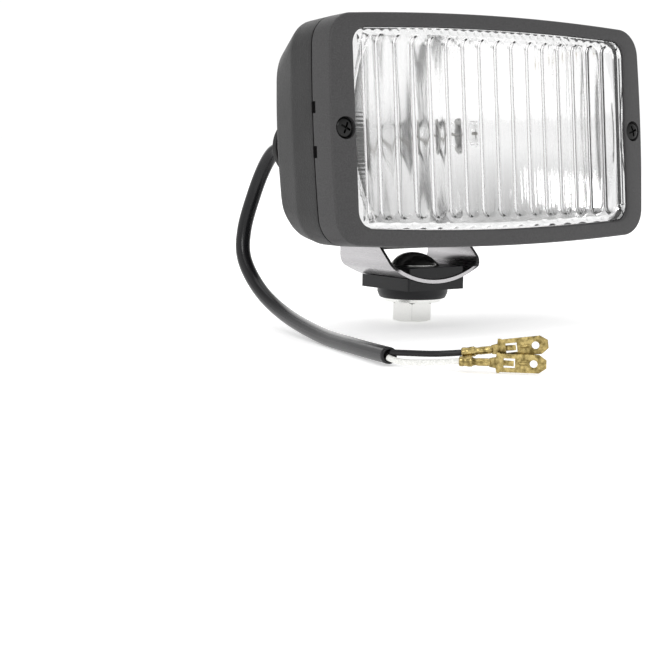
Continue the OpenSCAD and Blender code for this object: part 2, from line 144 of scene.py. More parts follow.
def metal(name, color, rough, stretch=(1, 1, 1), grain=900, depth=0.08):
    m, nt, p = tree(name)
    p.inputs["Base Color"].default_value = (*color, 1)
    p.inputs["Metallic"].default_value = 1
    at = node(nt, "ShaderNodeTexCoord")
    warp = node(nt, "ShaderNodeMapping")
    warp.inputs["Scale"].default_value = stretch
    noise = node(nt, "ShaderNodeTexNoise", Scale=grain, Detail=3.0)
    link(nt, at, "Object", warp, "Vector")
    link(nt, warp, "Vector", noise, "Vector")
    ramp = node(nt, "ShaderNodeMapRange")
    ramp.inputs["To Min"].default_value = rough * 0.75
    ramp.inputs["To Max"].default_value = rough * 1.25
    link(nt, noise, "Fac", ramp, "Value")
    link(nt, ramp, "Result", p, "Roughness")
    bump = node(nt, "ShaderNodeBump", Strength=depth, Distance=0.0001)
    link(nt, noise, "Fac", bump, "Height")
    link(nt, bump, "Normal", p, "Normal")
    return m


def glass(name, color, rough):
    m, nt, p = tree(name)
    p.inputs["Base Color"].default_value = (*color, 1)
    p.inputs["Roughness"].default_value = rough
    p.inputs["Transmission Weight"].default_value = 1
    p.inputs["IOR"].default_value = 1.5
    return m


MAT = {
    "frame_plastic": plastic("frame_plastic", (0.053, 0.052, 0.053), 0.5, 2200, 0.4, mottle=0.25),
    "housing_plastic": plastic("housing_plastic", (0.012, 0.0117, 0.012), 0.5, 1500, 0.9, mottle=0.4),
    "saddle_plastic": plastic("saddle_plastic", (0.009, 0.0093, 0.0105), 0.42, 1800, 0.3),
    "seal_rubber": plastic("seal_rubber", (0.008, 0.008, 0.008), 0.5, 1200, 0.2),
    "black_screw": metal("black_screw", (0.03, 0.03, 0.03), 0.3),
    "stainless": metal("stainless", (0.49, 0.48, 0.49), 0.28, (1, 0.08, 1), 900, 0.08),
    "zinc_steel": metal("zinc_steel", (0.76, 0.76, 0.74), 0.18, grain=500, depth=0.12),
    # A darker copy of the nut's zinc for its bevels: painted dark reflection along the nut's edges, in place
    # of the dark surroundings a bright metal would mirror there.
    "zinc_painted_dark_edge": metal("zinc_painted_dark_edge", (0.26, 0.26, 0.25), 0.3, grain=500, depth=0.12),
    "reflector_metal": metal("reflector_metal", (0.90, 0.90, 0.90), 0.12, grain=40, depth=0.02),
    "lens_glass": glass("lens_glass", (1.0, 1.0, 1.0), 0.0),
    "bulb_glass": glass("bulb_glass", (1.0, 1.0, 1.0), 0.0),
    "filament": metal("filament", (0.4, 0.38, 0.35), 0.4),
    "bulb_metal": metal("bulb_metal", (0.45, 0.45, 0.44), 0.3),
    "connector_plastic": plastic("connector_plastic", (0.7, 0.68, 0.6), 0.5, 1500, 0.2),
    "black_insulation": plastic("black_insulation", (0.010, 0.010, 0.011), 0.3, 1500, 0.1),
    "white_insulation": plastic("white_insulation", (0.80, 0.80, 0.77), 0.3, 1500, 0.1),
    "sheath_pvc": plastic("sheath_pvc", (0.009, 0.009, 0.010), 0.2, 1500, 0.06, 0.04),
    "membrane": plastic("membrane", (0.8, 0.8, 0.78), 0.8, 3000, 0.3),
    "terminal_brass": brass("terminal_brass"),
}
SLOT = {s["node"]: s["material_slot"] for s in frame["record"]["subparts"]}
BODY = {n: b for b, names in frame["record"]["behaviour"]["bodies"].items() for n in names}
for name, obj in frame["nodes"].items():
    obj.data.materials.clear()
    obj.data.materials.append(MAT[SLOT[name]])


# ---------------------------------------------------------------- camera
cam_data = bpy.data.cameras.new("camera")
cam_data.sensor_width = 36
cam_data.lens = 95.26
cam_data.clip_start = 0.05
cam = bpy.data.objects.new("camera", cam_data)
right = Vector((0.78993, -0.61301, 0.01524))
up = Vector((0.05991, 0.10189, 0.99299))
back = -Vector((0.61026, 0.78348, -0.11721))
cam.matrix_world = Matrix(
    (
        (right.x, up.x, back.x, -0.47977),
        (right.y, up.y, back.y, -0.55546),
        (right.z, up.z, back.z, 0.0738),
        (0, 0, 0, 1),
    )
)
bpy.context.collection.objects.link(cam)
bpy.context.scene.camera = cam


# ---------------------------------------------------------------- mesh helpers
def solid(bm, name="piece"):
    """A linked object from a bmesh, with its normals outward."""
    bmesh.ops.recalc_face_normals(bm, faces=bm.faces)
    me = bpy.data.meshes.new(name)
    bm.to_mesh(me)
    bm.free()
    o = bpy.data.objects.new(name, me)
    bpy.context.collection.objects.link(o)
    return o


def loft(rings, closed=False):
    """A skin over rings of equal count; an open loft is capped at both ends."""
    bm = bmesh.new()
    rows = [[bm.verts.new(p) for p in ring] for ring in rings]
    n = len(rings[0])
    for i in range(len(rows) if closed else len(rows) - 1):
        a, b = rows[i], rows[(i + 1) % len(rows)]
        for j in range(n):
            bm.faces.new((a[j], a[(j + 1) % n], b[(j + 1) % n], b[j]))
    if not closed:
        bm.faces.new(rows[0])
        bm.faces.new(rows[-1])
    return solid(bm)


def prism(outline, lo, hi, axis):
    """An outline drawn in the two other axes, extruded along axis from lo to hi."""

    def put(p, w):
        a, b = p
        return {"X": (w, a, b), "Y": (a, w, b), "Z": (a, b, w)}[axis]

    return loft([[put(p, lo) for p in outline], [put(p, hi) for p in outline]])


def box(lo, hi):
    return prism([(lo[0], lo[1]), (hi[0], lo[1]), (hi[0], hi[1]), (lo[0], hi[1])], lo[2], hi[2], "Z")


def disc(r, n=64, at=(0, 0), turn=0.0):
    angles = [2 * pi * k / n + turn for k in range(n)]
    return [(at[0] + r * cos(a), at[1] + r * sin(a)) for a in angles]


def rod(r, lo, hi, axis, at, n=64, turn=0.0):
    return prism(disc(r, n, at, turn), lo, hi, axis)


def lathe(profile, axis, at, n=96):
    """A profile of (radius, height) turned about an axis; it starts and ends on the axis, or closes."""
    on_axis = profile[0][0] == 0
    rings = []
    for r, h in profile:
        ring = []
        for k in range(n):
            a, b = at[0] + r * cos(2 * pi * k / n), at[1] + r * sin(2 * pi * k / n)
            ring.append({"X": (h, a, b), "Y": (a, h, b), "Z": (a, b, h)}[axis])
        rings.append(ring)
    o = loft(rings, closed=not on_axis)
    bm = bmesh.new()
    bm.from_mesh(o.data)
    bmesh.ops.remove_doubles(bm, verts=bm.verts, dist=1e-5)
    bmesh.ops.dissolve_degenerate(bm, edges=bm.edges, dist=1e-6)
    bmesh.ops.recalc_face_normals(bm, faces=bm.faces)
    bm.to_mesh(o.data)
    bm.free()
    return o


def hull(points):
    bm = bmesh.new()
    for p in points:
        bm.verts.new(p)
    found = bmesh.ops.convex_hull(bm, input=bm.verts)
    spare = {g for g in found["geom_interior"] + found["geom_unused"] if isinstance(g, bmesh.types.BMVert)}
    bmesh.ops.delete(bm, geom=list(spare), context="VERTS")
    bmesh.ops.dissolve_limit(bm, angle_limit=radians(0.05), verts=bm.verts, edges=bm.edges)
    return solid(bm)


def bake(obj):
    """Applies an object's modifiers."""
    dg = bpy.context.evaluated_depsgraph_get()
    dg.update()
    me = bpy.data.meshes.new_from_object(obj.evaluated_get(dg))
    obj.modifiers.clear()
    old, obj.data = obj.data, me
    bpy.data.meshes.remove(old)
    return obj


def carve(obj, *tools, op="DIFFERENCE"):
    for t in tools:
        mod = obj.modifiers.new("carve", "BOOLEAN")
        mod.object, mod.operation, mod.solver = t, op, "EXACT"
    bake(obj)
    for t in tools:
        me = t.data
        bpy.data.objects.remove(t)
        bpy.data.meshes.remove(me)
    return obj


def join(*objs):
    """One object holding every mesh, loose shells side by side."""
    bm = bmesh.new()
    for o in objs:
        bm.from_mesh(o.data)
        me = o.data
        bpy.data.objects.remove(o)
        bpy.data.meshes.remove(me)
    return solid(bm)


def remesh(obj, voxel, passes):
    mod = obj.modifiers.new("skin", "REMESH")
    mod.mode, mod.voxel_size = "VOXEL", voxel
    mod = obj.modifiers.new("soft", "SMOOTH")
    mod.factor, mod.iterations = 0.5, passes
    return bake(obj)


def mirrored(build):
    """build(side) for side 1 and -1, joined."""
    return join(build(1), build(-1))


def finish(obj, name, matrix, *nodes, bevel=0.0, segments=2, angle=32, slot=None, edge=None):
    """Puts a piece in its place, in metres, with its shading, material and body."""
    obj.name = obj.data.name = name
    obj.data.transform(matrix)
    bm = bmesh.new()
    bm.from_mesh(obj.data)
    for f in bm.faces:
        f.smooth = True
        f.material_index = 0
    for e in bm.edges:
        e.smooth = len(e.link_faces) == 2 and e.calc_face_angle(0) < radians(angle)
    bm.to_mesh(obj.data)
    bm.free()
    slot = slot or SLOT[nodes[0]]
    obj.data.materials.clear()
    obj.data.materials.append(MAT[slot])
    if bevel:
        mod = obj.modifiers.new("edges", "BEVEL")
        mod.width, mod.segments, mod.limit_method = bevel / 1000, segments, "ANGLE"
        mod.angle_limit = radians(angle)
        mod.harden_normals = True
        if edge:
            obj.data.materials.append(MAT[edge])
            mod.material = 1
    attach(obj, BODY[nodes[0]])
    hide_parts(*nodes)
    return obj


# ---------------------------------------------------------------- head outline
HALF_W, HALF_H, HEAD_DROP = 84.7, 45.9, -0.5
OPEN_W, OPEN_H = 73.6, 39.7
FRAME_DEPTH, WALL = 12.5, 2.5
SCREW_X, PIVOT_Y, PIVOT_Z = 78.4, 62.3, -36
VENT = (67.5, -2.5)
GROMMET = (-60.5, -4)


def arc(c, r, a0, a1, n):
    """Points on an arc, in degrees."""
    return [
        (c[0] + r * cos(radians(a0 + (a1 - a0) * i / n)), c[1] + r * sin(radians(a0 + (a1 - a0) * i / n)))
        for i in range(n + 1)
    ]


def crowned(hw, hh, rise, r, swell=0.0, r_low=0.0, drop=0.0):
    """A rounded rectangle whose top and bottom rise in the middle and whose sides swell."""
    q = r_low or r
    side, edge, m, k, n = hw - swell, hh - rise, 28, 14, 14
    t_m = [1 - 2 * j / m for j in range(1, m)]
    t_k = [1 - 2 * j / k for j in range(1, k)]
    pts = arc((side - r, edge - r), r, 0, 90, n)
    pts += [((side - r) * t, hh - rise * t * t) for t in t_m]
    pts += arc((r - side, edge - r), r, 90, 180, n)
    pts += [(-hw + swell * t * t, (q - r) / 2 + (edge - (q + r) / 2) * t) for t in t_k]
    pts += arc((q - side, q - edge), q, 180, 270, n)
    pts += [((q - side) * t, -hh + rise * t * t) for t in t_m]
    pts += arc((side - q, q - edge), q, 270, 360, n)
    pts += [(hw - swell * t * t, (q - r) / 2 - (edge - (q + r) / 2) * t) for t in t_k]
    return [(x, z + drop) for x, z in pts]


def at_y(outline, y):
    return [(x, y, z) for x, z in outline]


def frame_outline(inset):
    return crowned(HALF_W - inset, HALF_H - inset, 2.2, max(11.5 - inset, 4), 0.8, drop=HEAD_DROP)


# ---------------------------------------------------------------- front frame
def front_frame():
    """The bezel: straight sides, a rounded front edge, a face that slopes to the opening, and a lip."""
    opening = crowned(OPEN_W, OPEN_H, 1.7, 7)
    edge_r, slope, lip_r, lip_back, seam = 1.2, 0.95, 0.7, 3, 12.35
    rings = [at_y(frame_outline(0.35), seam), at_y(frame_outline(0), 12.0)]
    for k in range(9):
        a = pi / 2 * k / 8
        rings.append(at_y(frame_outline(edge_r * (1 - cos(a))), slope + edge_r * (1 - sin(a))))
    near = frame_outline(edge_r)
    for t in (0.12, 0.3, 0.5, 0.7, 0.88):
        y = slope * (1 - t / 0.88) ** 1.4
        pairs = zip(near, opening)
        rings.append([(a[0] * (1 - t) + b[0] * t, y, a[1] * (1 - t) + b[1] * t) for a, b in pairs])
    for k in range(5):
        a = pi / 2 * k / 4
        grow = lip_r * (1 - sin(a))
        rings.append(at_y(crowned(OPEN_W + grow, OPEN_H + grow, 1.7, 7), 0.04 + lip_r * (1 - cos(a))))
    rings.append(at_y(opening, lip_back))
    rings.append(at_y(frame_outline(WALL + 0.3), lip_back))
    rings.append(at_y(frame_outline(WALL + 0.3), seam))
    o = loft(rings, closed=True)
    for s in (1, -1):
        at = (s * SCREW_X, 0)
        carve(o, rod(3.2, 2.9, 12.3, "Y", at), op="UNION")
        carve(o, rod(4.3, -1, 2.4, "Y", at), rod(2.15, 1, 13, "Y", at, 32), *seam_slots(s, 10.4, 14))
    finish(o, "bezel", HEAD, "front_frame", angle=28)


def seam_slots(side, y0, y1):
    """Cutters for the two small slots at the seam on one side."""
    x0, x1 = sorted((side * (HALF_W - 1.4), side * (HALF_W + 2)))
    return [box((x0, y0, z - 2.25), (x1, y1, z + 2.25)) for z in (-8.4, 8.4)]


# ---------------------------------------------------------------- lens
FLUTES, LENS_Y, LENS_BACK = 16, 1.2, 4.2
STRIP_END, RIB_DEPTH, DOT_DEPTH = -66.7, 0.07, 0.3


def lens_relief(x, z):
    """How far the back of the lens stands out: flutes, a ribbed strip, a small pattern at the ends."""
    pitch = 2 * (OPEN_W - 3.2) / FLUTES
    if x < STRIP_END:
        return RIB_DEPTH * (1 - abs((z * 1.25) % 2 - 1)) if -31 < z < 34 else 0.0
    half, bow_r, top, bottom = 3.8, 5.2, 36.2, -35.2
    u = ((x / pitch) % 1 - 0.5) * pitch
    past = max(z - (top - half), bottom + half - z, 0)
    d = sqrt(u * u + past * past)
    if d < half:
        return sqrt(bow_r**2 - d * d) - sqrt(bow_r**2 - half**2)
    if z > top - half:
        return DOT_DEPTH * max(cos(x * 4 * pi / pitch) * cos((z - 38) * 1.5), 0)
    if z < bottom + half:
        return DOT_DEPTH * max(cos(x * 2 * pi / pitch) * cos((z + 37) * 1.5), 0)
    return 0.0


def lens():
    """A plate of glass: a fine grid for the fluted back, the flat front, and a flange under the lip."""
    hw, hh, rise, r = OPEN_W - 0.3, OPEN_H - 0.3, 1.7, 6.7

    def top(x):
        inside = hw - r
        if abs(x) <= inside:
            return hh - rise * (x / inside) ** 2
        return hh - rise - r + sqrt(max(r * r - (abs(x) - inside) ** 2, 0))

    strip = [-hw + 0.5 * i for i in range(14)]
    xs = strip + [-66.6 + 0.6 * i for i in range(int((hw + 66.6) / 0.6) + 1)] + [hw]
    zs = [-39.6 + 0.4 * i for i in range(199)]
    bm = bmesh.new()
    grid = []
    for z in zs:
        row = []
        for x in xs:
            h = min(max(z, -top(x)), top(x))
            row.append(bm.verts.new((x, LENS_BACK + lens_relief(x, h), h)))
        grid.append(row)
    for a, b in zip(grid, grid[1:]):
        for j in range(len(xs) - 1):
            bm.faces.new((a[j], a[j + 1], b[j + 1], b[j]))
    bmesh.ops.remove_doubles(bm, verts=bm.verts, dist=0.01)
    bmesh.ops.dissolve_degenerate(bm, edges=bm.edges, dist=0.01)
    front = bmesh.ops.extrude_face_region(bm, geom=bm.faces[:])
    for v in front["geom"]:
        if isinstance(v, bmesh.types.BMVert):
            v.co.y = LENS_Y
    plate = solid(bm)
    inner, outer = crowned(OPEN_W - 0.3, OPEN_H - 0.3, 1.7, 6.7), crowned(74.9, 41.2, 1.7, 8)
    flange_front = 3.05
    ends = ((inner, flange_front), (outer, flange_front), (outer, LENS_BACK), (inner, LENS_BACK))
    flange = loft([at_y(outline, y) for outline, y in ends], closed=True)
    finish(join(plate, flange), "fluted_lens", HEAD, "lens", angle=55)


# ---------------------------------------------------------------- light unit
APEX, FOCAL = 44, 34


def reflector():
    """A smooth parabolic bowl with flat walls above and below, and a flange against the lens seal."""

    def skin(hw, hh, r, hole, lift, back_to):
        edge = crowned(hw, hh, 1.7, r)
        rings = []
        steps = 48
        for i in range(steps + 1):
            ring = []
            for x, z in edge:
                far = sqrt(x * x + z * z)
                d = hole + (far - hole) * i / steps
                y = max(APEX + lift - d * d / (4 * FOCAL), back_to)
                ring.append((x * d / far, y, z * d / far))
            rings.append(ring)
        rings.append(at_y(edge, back_to))
        return rings

    bulb_hole, front_y, back_y = 7.2, 5.9, 7.1
    inner = skin(72.8, 37.0, 6.8, bulb_hole, 0, front_y)
    outer = skin(74.0, 38.2, 8, bulb_hole, 1.2, back_y)
    flange = crowned(74.7, 41, 1.7, 8)
    rings = inner + [at_y(flange, front_y), at_y(flange, back_y)] + outer[::-1]
    finish(loft(rings, closed=True), "reflector_bowl", HEAD, "reflector", angle=40)


def helix(c, r, wire, turns, length, n=14, sides=8):
    """A coil along X."""
    path = []
    for i in range(int(turns * n) + 1):
        a = 2 * pi * i / n
        x = c[0] - length / 2 + length * i / (turns * n)
        path.append(Vector((x, c[1] + r * cos(a), c[2] + r * sin(a))))
    return tube(path, wire, sides)


def tube(path, radius, sides=16, round_ends=False):
    """A round tube along a path of points, kept from twisting."""
    path = [Vector(p) for p in path]
    n = len(path)
    along = [(path[min(i + 1, n - 1)] - path[max(i - 1, 0)]).normalized() for i in range(n)]
    u = along[0].orthogonal().normalized()
    rings = []
    for i in range(n):
        u = (u - along[i] * u.dot(along[i])).normalized()
        v = along[i].cross(u)
        rings.append([path[i] + radius * (a * u + b * v) for a, b in disc(1, sides)])
    if round_ends:
        for end, sign in ((0, -1), (n - 1, 1)):
            c = path[end] + along[end] * sign * radius * 0.12
            small = [c + (p - path[end]) * 0.88 for p in rings[0 if end == 0 else -1]]
            if end == 0:
                rings.insert(0, small)
            else:
                rings.append(small)
    return loft(rings)


def bulb():
    tip = APEX - 20
    r, t = 5.0, 0.8
    out = [(r * sin(radians(a)), tip - r * cos(radians(a))) for a in range(0, 91, 9)]
    out += [(r, tip + 17), (r * 0.8, tip + 18.8), (r - t - 0.2, tip + 18.8), (r - t, tip + 16)]
    out += [((r - t) * sin(radians(a)), tip - (r - t) * cos(radians(a))) for a in range(90, -1, -9)]
    finish(lathe(out, "Y", (0, 0)), "bulb_capsule", HEAD, "bulb_glass", angle=50)
    coil_y, half = APEX - 17, 2.2
    coil = helix((0, coil_y, 0), 0.55, 0.14, 9, 2 * half)
    legs = [
        tube([(x, coil_y, 0), (x, APEX - 10, 0), (x, APEX - 2.1, 0)], 0.3, 10)
        for x in (half, -half)
    ]
    finish(join(coil, *legs), "filament_coil", HEAD, "bulb_filament", angle=50)


# ---------------------------------------------------------------- rear housing
DOME_Y, DOME_R = 68, 150
BACK_W, BACK_H, BACK_DROP = 77.6, 39.5, -1.5
TRUNK_X, TRUNK_R = 22.6, 10.4
SCOOP_R, SCOOP_END, SCOOP_END_R = 22.5, 82.6, 14


def shell_points(inset, edge):
    """Points of the tapered body: the seam, the widest section and the curved back with its rounded rim."""
    pts = at_y(frame_outline(inset), FRAME_DEPTH - 4) + at_y(frame_outline(inset), FRAME_DEPTH + 0.4)
    mid = crowned(82.4 - inset, 44.6 - inset, 1.2, 11.5 - inset, 0.8, 14 - inset)
    pts += at_y(mid, 28) + at_y(mid, 28.4)
    for k in range(7):
        a = pi / 2 * k / 6
        cut = inset + edge * (1 - cos(a))
        corners = max(16 - cut, 5), 1.2, max(18 - cut, 6)
        rim = crowned(BACK_W - cut, BACK_H - cut, 1.2, *corners, drop=BACK_DROP)
        for x, z in rim:
            back_y = DOME_Y - DOME_R + sqrt((DOME_R - inset) ** 2 - x * x)
            pts.append((x, back_y - edge * (1 - sin(a)), z))
    corners = 16 - inset, 1.2, 18 - inset
    pts += at_y(crowned(BACK_W - inset, BACK_H - inset, 1.2, *corners, drop=BACK_DROP), 40)
    return pts


def hump():
    """The raised panel on the back, with its sloped band."""
    root_y, band_y, edge_y, edge_r = 52, 60.2, 69.4, 1.6
    top_w, top_h, corner = 27.8, 27.5, 11
    pts = at_y(crowned(39.5, 34.5, 1.5, 18, drop=-6), root_y)
    pts += at_y(crowned(38.5, 33.5, 1.5, 17, drop=-6), band_y)
    for k in range(4):
        a = pi / 2 * k / 3
        cut = edge_r * (1 - cos(a))
        rim = crowned(top_w - cut, top_h - cut, 2, corner - cut, drop=-8.6)
        pts += at_y(rim, edge_y + edge_r * sin(a))
    return hull(pts)


def cone_at_pivot(side, x0, r0, x1, r1, n):
    """A cone about the pivot's axis, on one side of the trunk."""
    rings = []
    for x, r in ((x0, r0), (x1, r1)):
        rings.append([(side * x, y, z) for y, z in disc(r, n, (PIVOT_Y, PIVOT_Z))])
    return loft(rings)


def scoop(side):
    """The hollow beside the trunk that clears one ear of the strap."""
    return cone_at_pivot(side, TRUNK_X, SCOOP_R, SCOOP_END, SCOOP_END_R, 96)


def scoop_wall(side):
    """The wall left round a scoop on the inside of the housing."""
    return cone_at_pivot(side, TRUNK_X - WALL, SCOOP_R + WALL, SCOOP_END, SCOOP_END_R + WALL, 64)


def rear_housing():
    body = hull(shell_points(0, 2.8))
    panel = hump()
    for part in (body, panel):
        carve(part, scoop(1), scoop(-1))
    o = join(body, panel)
    remesh(o, 0.8, 4)
    pivot = (PIVOT_Y, PIVOT_Z)
    round_part = rod(TRUNK_R, -TRUNK_X, TRUNK_X, "X", pivot, 96)
    block = prism([(50, PIVOT_Z), (71, PIVOT_Z), (71, -14), (50, -14)], -TRUNK_X, TRUNK_X, "X")
    bosses = [
        mirrored(lambda s: rod(8.5, *sorted((s * 20, s * 23.85)), "X", pivot, 64)),
        rod(10, 44, 54.5, "Y", VENT),
        rod(12.3, 40, 52.6, "Y", GROMMET),
    ]
    o = join(o, round_part, block, *bosses)
    remesh(o, 0.8, 3)
    front = prism(crowned(95, 55, 0, 4), 0, FRAME_DEPTH + 0.15, "Y")
    inner = hull(shell_points(WALL, 4))
    cavity_end, spout_bore = 40, 2.6
    trunk_wall = prism([(48, -60), (80, -60), (80, -12), (48, -12)], -25, 25, "X")
    carve(inner, scoop_wall(1), scoop_wall(-1), trunk_wall)
    carve(o, front)
    carve(o, inner)
    carve(
        o,
        arch_recess(),
        rod(12.6, 53, 75, "Y", GROMMET, 96),
        rod(6.2, cavity_end, 60, "Y", GROMMET),
        rod(spout_bore, cavity_end, 60, "Y", VENT, 32),
    )
    for s in (1, -1):
        bore = rod(4.15, *sorted((s * 10, s * 30)), "X", pivot, 48)
        carve(o, bore, *seam_slots(s, 8, 12.9))
    bosses = [rod(3.2, FRAME_DEPTH + 0.2, FRAME_DEPTH + 14, "Y", (s * SCREW_X, 0), 32) for s in (1, -1)]
    spout = rod(4.6, 50, 63, "Y", VENT, 48)
    carve(spout, rod(spout_bore, cavity_end, 70, "Y", VENT, 32))
    o = join(o, *bosses, spout)
    finish(o, "housing", HEAD, "rear_housing", angle=38)


def arch_recess():
    """The arch let into the trunk: deepest at its top, and running out downward."""
    outline = [(-15, -60), (15, -60), (15, -20)] + arc((10, -20), 5, 10, 90, 8)
    outline += arc((-10, -20), 5, 90, 170, 8) + [(-15, -20)]
    o = prism(outline, 68.7, 76, "Y")
    o.data.transform(Matrix(((1, 0, 0, 0), (0, 1, -0.13, -0.13 * 15), (0, 0, 1, 0), (0, 0, 0, 1))))
    return o


# ---------------------------------------------------------------- fastenings on the head
def frame_screws():
    """Pan heads with a cross recess, in their counterbores."""

    def one(s):
        head = [(0, 0.28), (1.2, 0.3), (2.4, 0.45), (3.3, 0.75)]
        head += [(3.8, 1.2), (3.95, 1.6), (3.95, 2.25), (3.8, 2.4)]
        o = lathe(head + [(1.95, 2.4), (1.95, 22), (0, 22.6)], "Y", (s * SCREW_X, 0), 64)
        turn = radians(18 if s > 0 else -24)
        for a in (0, pi / 2):
            c, d = cos(turn + a), sin(turn + a)
            wing = [(2.3, -0.42), (2.3, 0.42), (-2.3, 0.42), (-2.3, -0.42)]
            slot = prism([(s * SCREW_X + u * c - v * d, u * d + v * c) for u, v in wing], -1, 1.5, "Y")
            carve(o, slot)
        return o

    finish(mirrored(one), "bezel_screws", HEAD, "frame_screws", bevel=0.08, angle=30)


def hexagon(flats, turn):
    return disc(flats / sqrt(3), 6, turn=turn)


def pivot_bolts():
    """Hex heads with chamfered corners and a shallow dish, each on its washer face."""

    def one(s):
        x0, flats, top = 25.65, 13, 5.3
        pts = [(PIVOT_Y + a, PIVOT_Z + b) for a, b in hexagon(flats, radians(12))]
        o = prism(pts, *sorted((s * (x0 + 0.5), s * (x0 + top))), "X")
        cone = [(0, x0 - 2), (9, x0 - 2), (9, x0 + 3.9), (6.5, x0 + 5.4), (0, x0 + 5.4)]
        carve(o, lathe([(r, s * h) for r, h in cone], "X", (PIVOT_Y, PIVOT_Z)), op="INTERSECT")
        dish = [(0, x0 + 4.9), (4.4, x0 + 4.9), (5.2, x0 + 5.6), (5.2, x0 + 7), (0, x0 + 7)]
        carve(o, lathe([(r, s * h) for r, h in dish], "X", (PIVOT_Y, PIVOT_Z)))
        carve(o, rod(6.4, *sorted((s * x0, s * (x0 + 0.7))), "X", (PIVOT_Y, PIVOT_Z)), op="UNION")
        return join(o, rod(4, *sorted((s * 11, s * (x0 + 0.3))), "X", (PIVOT_Y, PIVOT_Z)))

    finish(mirrored(one), "tilt_bolts", HEAD, "pivot_bolts", bevel=0.2, angle=25)


def vent():
    ring = [(4.7, 54.5), (10.4, 54.5), (10.9, 55.0), (10.9, 56.6), (10.4, 57.1), (4.7, 57.1)]
    finish(lathe(ring, "Y", VENT), "vent_ring", HEAD, "vent_boss_ring", angle=40)
    y = 57.1
    cap = [(0, y + 11.1), (1.0, y + 11.1), (1.3, y + 11.6), (7.6, y + 11.6)]
    cap += [(8.0 + 1.6 * sin(radians(a)), y + 10 + 1.6 * cos(radians(a))) for a in range(10, 90, 16)]
    cap += [(9.75, y + 9.6), (10.55, y + 0.4), (10.3, y), (7.6, y), (7.6, y + 8.6), (0, y + 8.6)]
    o = lathe(cap, "Y", VENT, 128)
    for k in range(4):
        a = pi / 2 * k
        ends = []
        for reach, half, depth in ((11.0, 3.1, 0.05), (10.7, 2.6, 3.5), (9.9, 1.7, 8.6)):
            pad = [(8.4, -half), (reach - 0.5, -half), (reach, 0), (reach - 0.5, half), (8.4, half)]
            turned = [(u * cos(a) - v * sin(a), u * sin(a) + v * cos(a)) for u, v in pad]
            ends.append([(VENT[0] + u, y + depth, VENT[1] + v) for u, v in turned])
        carve(o, loft(ends), op="UNION")
    finish(o, "vent_cover", HEAD, "vent_cap", angle=30, bevel=0.15)


def grommet():
    p = 53
    out = [(3.1, p + 10.5), (5.0, p + 10.5), (5.5, p + 10.3), (7.3, p + 9.0), (7.8, p + 8.3), (8.35, p + 4.7)]
    out += [(8.9, p + 4.1), (11.5, p + 2.9), (12.05, p + 2.2), (12.1, p + 0.3), (11.8, p)]
    out += [(6.1, p), (6.1, p - 3.4), (3.2, p - 3.4), (3.2, p + 1), (3.1, p + 3.5)]
    finish(lathe(out, "Y", GROMMET, 128), "grommet", HEAD, "cable_grommet", angle=35)


# ---------------------------------------------------------------- bracket and mounting stack
BASE_Z, BASE_R, BEND_R, EAR_OUT, STRAP = 53.1, 46, 6, 25.5, 1.5
BEND_X = EAR_OUT - BEND_R
BEND_Z = BASE_Z - sqrt((BASE_R - BEND_R) ** 2 - BEND_X**2)
SADDLE_TOP = 13.8


def strap_line(t):
    a = atan2(BEND_Z - BASE_Z, BEND_X) * 180 / pi
    line = arc((0, BASE_Z), BASE_R - t, -90, a, 40)
    return line + arc((BEND_X, BEND_Z), BEND_R - t, a + 3, 0, 20) + [(EAR_OUT - t, BEND_Z + 29)]


def bracket():
    outer, inner = strap_line(0), strap_line(STRAP)
    section = [(-x, z) for x, z in outer[:0:-1]] + outer + inner[::-1] + [(-x, z) for x, z in inner[1:]]
    o = prism(section, -30, 30, "Y")
    pivot = (PIVOT_W.y, PIVOT_W.z)
    ear = arc(pivot, 10.5, 0, 180, 48) + [(-3, 27.6), (-13.4, 17.6), (-16, 13.5)]
    ear += [(-16, 0), (17, 0), (17, 11), (18, 14)]
    carve(o, prism(ear, -40, 40, "X"), op="INTERSECT")
    slot = arc((5, 0), 5.5, -90, 90, 16) + arc((-5, 0), 5.5, 90, 270, 16)
    carve(o, rod(4.06, -40, 40, "X", pivot, 64), prism(slot, 0, 14, "Z"))
    finish(o, "strap_bracket", MM, "bracket", bevel=0.22, angle=35)


def saddles():
    half, bolt_hole, corner = 15.5, 5.05, 0.7

    def block(hw, hd, lo, hi, r):
        return prism([(x, y) for x, y in crowned(hw, hd, 0, r)], lo, hi, "Z")

    upper = block(half - 0.5, half, 8, SADDLE_TOP, corner)
    keep = rod(BASE_R - STRAP - 0.3, -40, 40, "Y", (0, BASE_Z), 180)
    carve(upper, keep, op="INTERSECT")
    carve(upper, rod(bolt_hole, 0, 30, "Z", (0, 0)))
    finish(upper, "saddle_upper", MM, "upper_saddle", bevel=0.35, angle=35)
    lower = block(half, half, 4.2, 12.2, corner)
    boss = [(0, 0), (13.7, 0), (14.1, 0.3), (15, 2.4), (15, 5), (0, 5)]
    carve(lower, lathe(boss, "Z", (0, 0), 128), op="UNION")
    carve(lower, rod(BASE_R + 0.3, -40, 40, "Y", (0, BASE_Z), 180))
    carve(lower, rod(bolt_hole, -1, 30, "Z", (0, 0)), rod(12.7, -1, 0.2, "Z", (0, 0)))
    finish(lower, "saddle_lower", MM, "lower_saddle", bevel=0.35, angle=35)


